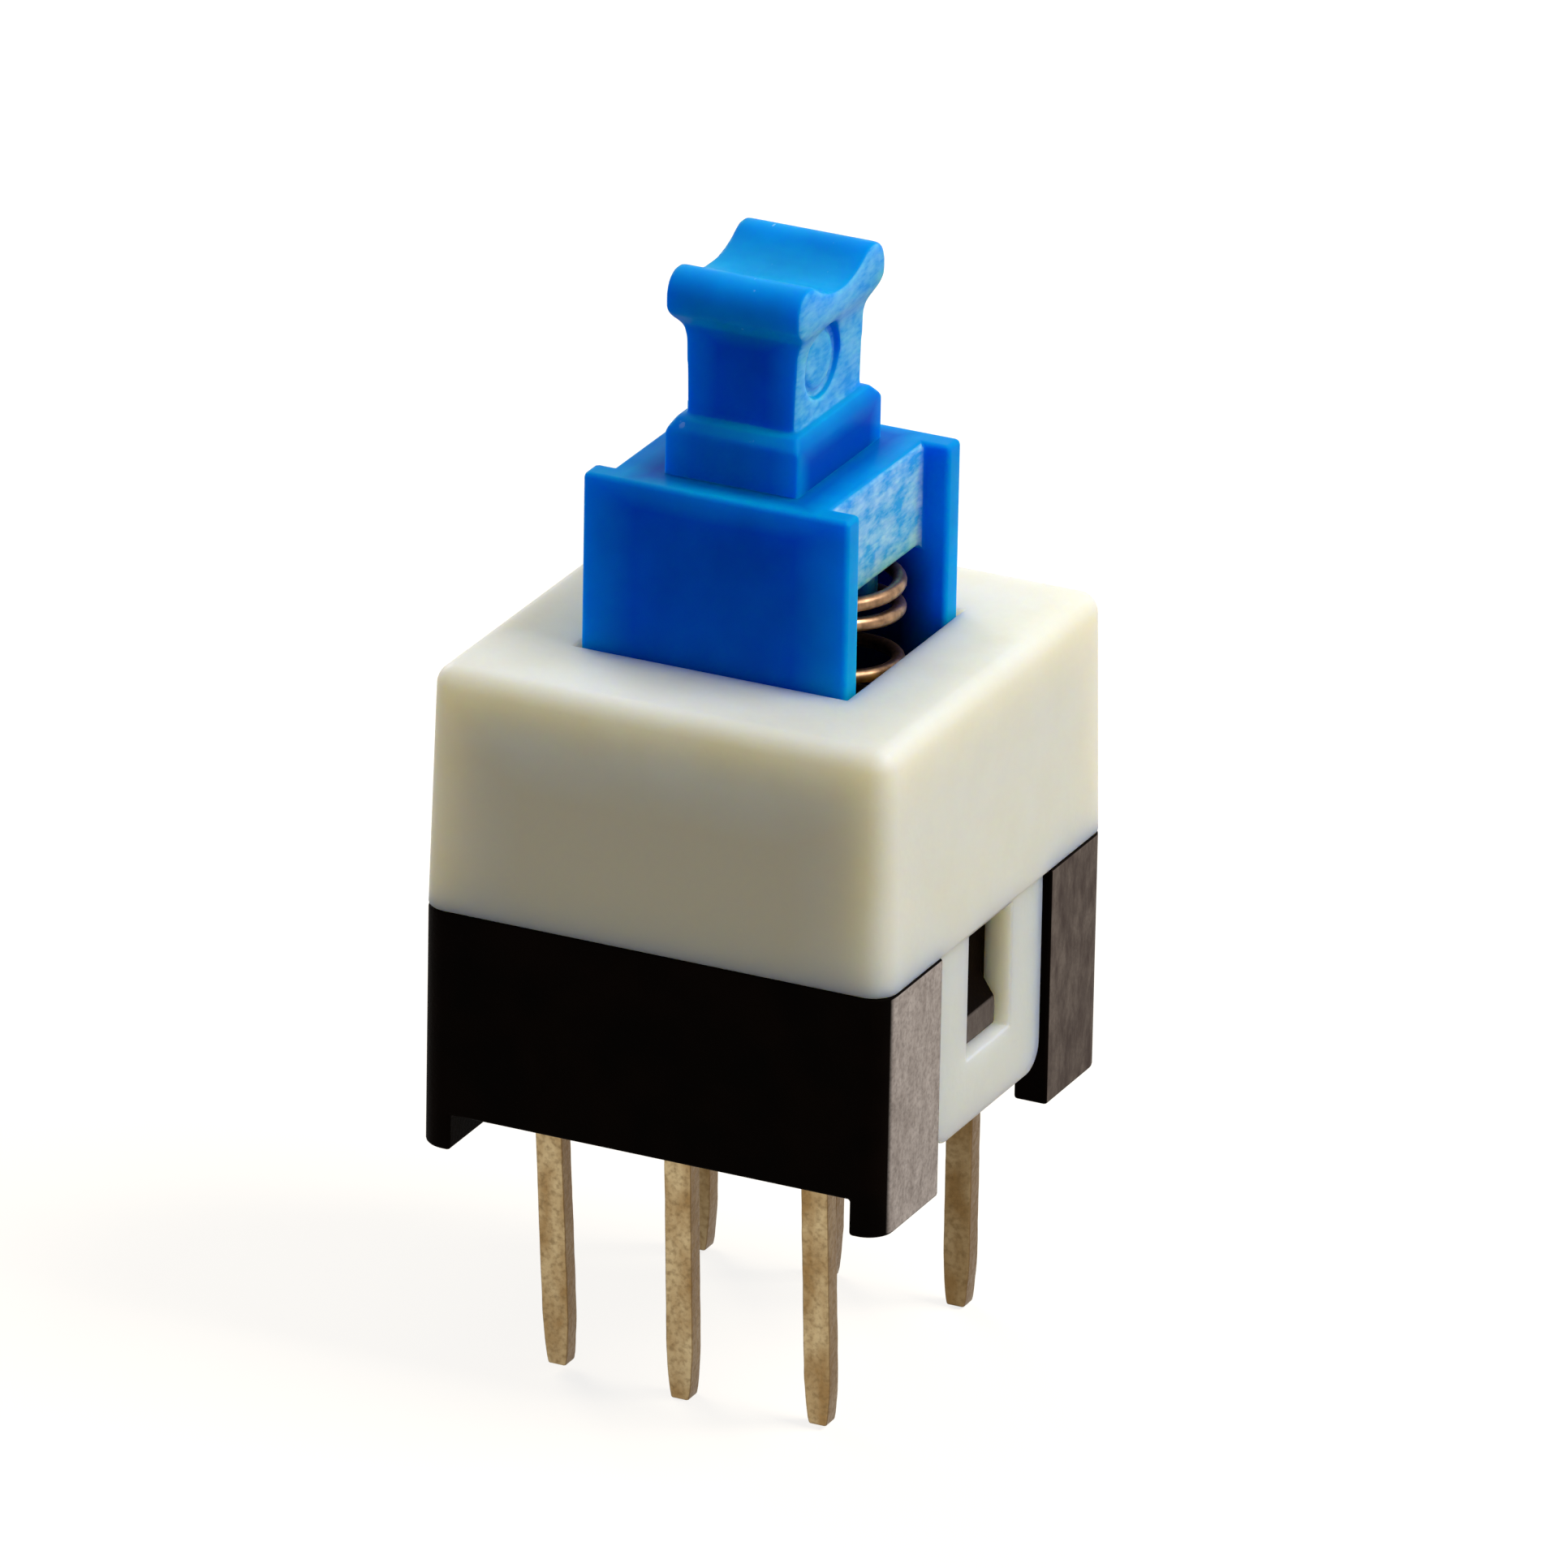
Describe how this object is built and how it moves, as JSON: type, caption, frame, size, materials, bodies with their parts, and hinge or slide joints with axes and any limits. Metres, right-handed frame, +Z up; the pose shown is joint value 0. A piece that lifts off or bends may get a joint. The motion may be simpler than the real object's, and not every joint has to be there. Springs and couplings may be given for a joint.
{
  "type": "latching push button switch",
  "caption": "Small self-locking push button switch for a circuit board, with a saddle-headed button, snap-fit housing and straight pins.",
  "frame": {"origin": "middle of the footprint, on the plane of the feet that stand on the circuit board", "axes": "+Z up along the button's travel, +X towards the side where the return spring shows, rows of pins along X"},
  "size_m": [0.007, 0.007, 0.0159],
  "materials": {
    "housing_plastic": "satin moulded, warm white",
    "base_plastic": "fine moulded texture, black",
    "button_plastic": "semi-gloss moulded, blue",
    "spring_steel": "drawn wire",
    "latch_steel": "drawn wire",
    "contact_metal": "stamped strip",
    "terminal_metal": "tinned strip, dull and mottled"
  },
  "bodies": {
    "body": {"housing": "housing_plastic", "base": "base_plastic", "return_spring": "spring_steel", "terminal_front_left": "terminal_metal", "terminal_front_center": "terminal_metal", "terminal_front_right": "terminal_metal", "terminal_rear_left": "terminal_metal", "terminal_rear_center": "terminal_metal", "terminal_rear_right": "terminal_metal"},
    "button": {"plunger": "button_plastic", "moving_contact_front": "contact_metal", "moving_contact_rear": "contact_metal"},
    "latch": {"latch_pin": "latch_steel"}
  },
  "joints": [
    {"name": "plunger_slide", "type": "slide", "parent": "body", "child": "button", "axis": [0, 0, -1], "range_m": [0, 0.0023], "stiffness_N_per_m": 400, "springref_m": -0.003, "deforming": ["return_spring"]},
    {"name": "latch_swing", "type": "hinge", "parent": "body", "child": "latch", "pos_m": [-0.0025, 0, 0.0019], "axis": [1, 0, 0], "range_deg": [0, 13.3]}
  ],
  "couplings": [
    {"joint": "latch_swing", "follows": "plunger_slide", "rad_per_m": 100.9}
  ]
}
